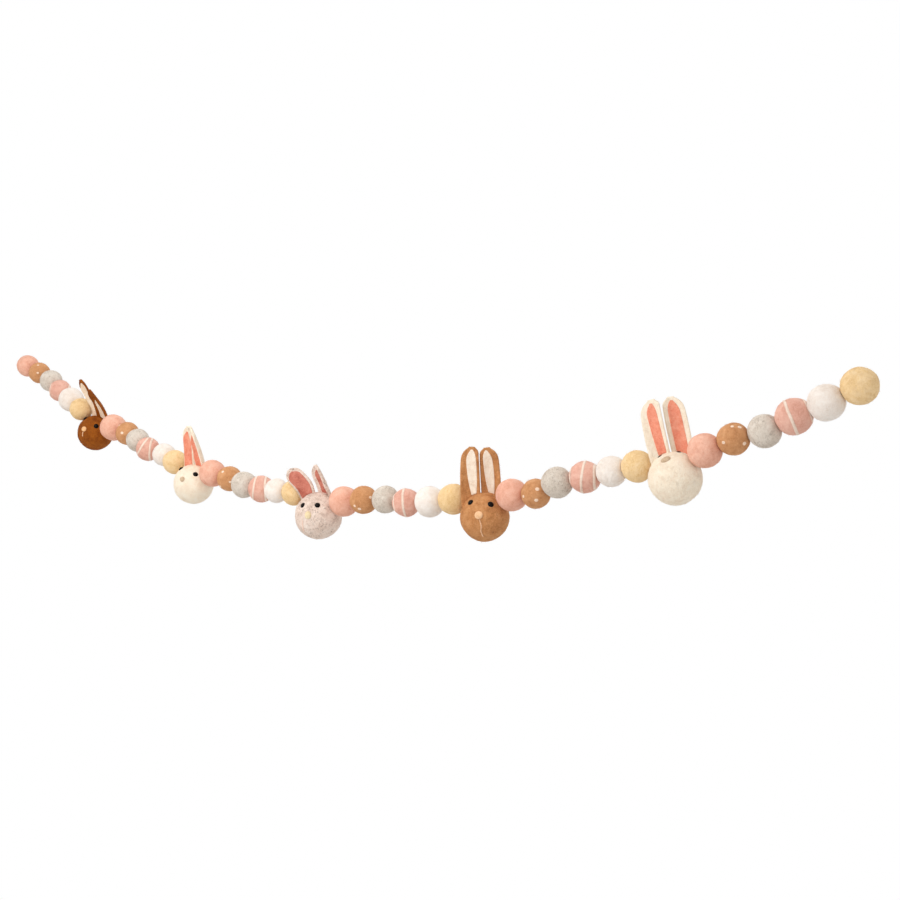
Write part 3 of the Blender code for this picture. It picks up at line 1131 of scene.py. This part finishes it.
@dataclass
class Studio:
    """The floor, the lights, the sky and the camera."""

    lens: float = 46.3
    sensor: float = 36.0
    yaw: float = 36.3235
    pitch: float = -1.1122
    roll: float = 1.3984
    stand: Colour = (1.16838, -0.76756, -0.06412)
    floor_middle: Colour = (0.47, 0.0, -1.3)
    floor_radius: float = 1.8
    key: SoftBox = SoftBox("key light", (0.48, -0.6, 0.28), (0.48, 0, -0.1), 0.6, 3.8, (1.0, 0.99, 0.975))
    rim: SoftBox = SoftBox("rim light", (0.3, 1.3, 0.9), (0.5, 0, -0.1), 1.0, 5.0)
    sky_tint: Colour = (1.0, 0.995, 0.98)
    sky_strength: float = 0.82  # of its light on the garland; seen directly it is plain white

    def camera(self) -> None:
        """Sets the camera at the right, looking along the garland to the left."""
        yaw, pitch, roll = (radians(angle) for angle in (self.yaw, self.pitch, self.roll))
        ahead = Vector((-sin(yaw) * cos(pitch), cos(yaw) * cos(pitch), sin(pitch)))
        level = Vector((cos(yaw), sin(yaw), 0))
        upright = level.cross(ahead)
        across = level * cos(roll) + upright * sin(roll)
        up = upright * cos(roll) - level * sin(roll)
        data = bpy.data.cameras.new("camera")
        data.lens, data.sensor_width = self.lens, self.sensor
        camera = placed("camera", data)
        turn = Matrix((across, up, -ahead)).transposed().to_4x4()
        camera.matrix_world = Matrix.Translation(self.stand) @ turn
        bpy.context.scene.camera = camera

    def floor(self, bench: Workbench) -> None:
        """Lays a plain pale floor far below the garland."""
        made = bmesh.new()
        place = Matrix.Translation(self.floor_middle)
        bmesh.ops.create_circle(made, cap_ends=True, segments=96, radius=self.floor_radius, matrix=place)
        data = as_mesh("floor", made)
        data.materials.append(bench.finish(Board()))
        floor = placed("floor", data)

    def sky(self) -> None:
        """Fills the studio with even white light, a little weaker on the garland than behind it."""
        world = bpy.data.worlds.new("studio")
        bpy.context.scene.world = world
        world.use_nodes = True
        nodes, links = world.node_tree.nodes, world.node_tree.links
        back = nodes["Background"]
        back.inputs["Color"].default_value = (1, 1, 1, 1)
        back.inputs["Strength"].default_value = 1.0
        fill = nodes.new("ShaderNodeBackground")
        fill.inputs["Color"].default_value = (*self.sky_tint, 1)
        fill.inputs["Strength"].default_value = self.sky_strength
        path, mix = nodes.new("ShaderNodeLightPath"), nodes.new("ShaderNodeMixShader")
        links.new(path.outputs["Is Camera Ray"], mix.inputs[0])
        links.new(fill.outputs[0], mix.inputs[1])
        links.new(back.outputs[0], mix.inputs[2])
        links.new(mix.outputs[0], nodes["World Output"].inputs["Surface"])

    def build(self, bench: Workbench) -> None:
        """Sets up the whole studio."""
        self.camera()
        self.floor(bench)
        self.key.hang()
        self.rim.hang()
        self.sky()
        bpy.context.scene.view_settings.view_transform = "Standard"


HEADS = (
    HeadCut(
        Wool.BROWN, 37.0, 1.5, 5.0, 8, 16,
        EarCut(54.5, 13.0, 3.0, -5.0, -28, 35, 3, 65, LiningCut(0.94, 0.94, shift=-0.06, end=0.94)),
        EarCut(50.5, 16.0, 8.5, -8.0, -22, 44, -5, 80, LiningCut(0.56, 0.7, shift=-0.1, end=0.74)),
        CARAMEL_FELT,
        FaceCut((-42, 42), (47, 40), (5.9, 5.6), TAN_NOSE, PEACH_LINING, ((9, 6), (12, -8))),
    ),
    HeadCut(
        Wool.WHITE, 39.0, 3.0, 3.0, 10, 18,
        EarCut(50.0, 14.0, 5.8, -1.0, -8, 14, -3, 60, LiningCut(0.96, 0.97, shift=-0.02, end=0.9)),
        EarCut(56.5, 17.0, 8.0, -5.0, -13, 31, -21, 110, LiningCut(0.8, 0.86, shift=-0.2, end=0.84)),
        CREAM_FELT,
        FaceCut((-42, 43), (49, 41), (5.4, 5.0), PUTTY_NOSE, CORAL_LINING),
    ),
    HeadCut(
        Wool.GREY, 42.5, 5.0, 3.0, 16, 5,
        EarCut(41.0, 16.0, 5.0, 2.0, -46, 14, 40, 48, LiningCut(0.84, 0.8, shift=-0.1, end=0.93)),
        EarCut(42.0, 18.5, 10.0, -5.0, -24, 19, -32, 100, LiningCut(0.64, 0.6, shift=-0.02, end=0.9)),
        MARBLED_FELT,
        FaceCut(
            (-8, 28), (38, 31), (6.0, 7.0), STRAW_NOSE, ROSE_LINING,
            ((1, -9), (-2, -24), (-5.3, -37.9)), ROSE_YARN,
        ),
    ),
    HeadCut(
        Wool.BROWN, 40.0, 5.0, 3.0, 21, 5,
        EarCut(50.5, 17.5, 9.2, 2.5, 9, 8, 0, 45, LiningCut(0.62, 0.3, 3.0, 0.06, 0.3, 0.965)),
        EarCut(48.5, 18.0, 6.6, -2.0, 2, 8, 12, 48, LiningCut(0.56, 0.3, 3.0, -0.16, 0.2, 0.965)),
        TOFFEE_FELT,
        FaceCut(
            (-6.5, 39), (53.6, 28.5), (6.8, 6.4), PEACH_NOSE, CREAM_LINING,
            ((22, -5), (24.5, -20), (20.5, -34), (22.2, -48.8)),
        ),
    ),
    HeadCut(
        Wool.WHITE, 39.0, 5.5, 2.0, 12, 44,
        EarCut(53.2, 19.0, 4.7, 2.5, 3, -4, -4, 50, LiningCut(0.52, 0.5, 1.0, -0.06, 0.3, 0.95)),
        EarCut(53.0, 17.5, 9.0, -3.5, 1, -9, 22, 47, LiningCut(0.58, 0.6, 1.0, -0.02, 0.04, 0.95)),
        CREAM_FELT,
        FaceCut((-38, 67), (84, 64), (7.2, 5.0), PUTTY_NOSE, CORAL_LINING, nose_tilt=12.0, eyes_sunk=0.8),
    ),
)

BANDS = (
    (Band(-0.8, 45, 15), Band(0.84, 45, 15)),
    (Band(-0.48, 39, -20), Band(0.32, 40, 8)),
    (Band(-0.46, 36, -2), Band(0.4, 37, 7)),
    (Band(-0.78, 26, 2), Band(-0.04, 26, 2), Band(0.85, 26, 2)),
    (Band(-0.85, 20, -16), Band(-0.04, 20, -16), Band(0.65, 24, -10, 2.8 * MM)),
    (Band(-0.17, 18, 2), Band(0.75, 23, 4)),
)

DOTS = (
    ((44, 17), (-20, -30), (10, 60)),
    ((23, 10), (70, -35), (-40, 35)),
    ((50, -6), (0, 35), (-10, -40)),
    ((70, 13), (19, -37), (-3, -23)),
    ((40, 14), (-26, -5), (30, -28)),
    ((-17, -7), (60, -32), (33, 41), (60, 29)),
)


HEAD_FIBRES, EAR_FIBRES, BALL_FIBRES = 520, 230, 220


def main() -> None:
    """Builds the garland piece by piece, then the studio round it."""
    logging.basicConfig(level=logging.INFO, format="%(name)s: %(message)s")
    bench, thread = Workbench(), Thread(HEADS)
    pieces = thread.string()
    furred: dict[Felt, tuple[Wool, list[tuple[Object, int]]]] = {}
    ball_number = head_number = 0
    for index, strung in enumerate(pieces):
        flats = thread.presses(pieces, index)
        if strung.head:
            head_number += 1
            ball = FeltBall(strung, flats, index, subdivisions=6)
            head = RabbitHead(bench, head_number, ball, [pieces[index - 1], pieces[index + 1]])
            made, *ears = head.build()
            _, felts = furred.setdefault(strung.head.felt, (strung.wool, []))
            felts += [(made, HEAD_FIBRES), *((ear, EAR_FIBRES) for ear in ears)]
            continue
        ball_number += 1
        ball = FeltBall(strung, flats, index)
        wool = strung.wool
        node = f"ball_{ball_number:02d}_{wool.value}"
        made = bench.piece(f"felt_{node}", ball.mesh(), FELTS[wool], wool.value, node)
        furred.setdefault(FELTS[wool], (wool, []))[1].append((made, BALL_FIBRES))
        if wool is Wool.STRIPED:
            bands = YarnBands(ball, BANDS[head_number])
            bench.piece(f"yarn_bands_{ball_number:02d}", bands.mesh(), CREAM_YARN)
        if wool is Wool.BROWN:
            dots = WoolDots(ball, DOTS[head_number])
            bench.piece(f"wool_dots_{ball_number:02d}", dots.mesh(), PEACH_WOOL)
    for look, (wool, felts) in furred.items():
        LooseFibres(bench, wool, look).build(felts)
    Studio().build(bench)


if __name__ == "__main__":
    main()
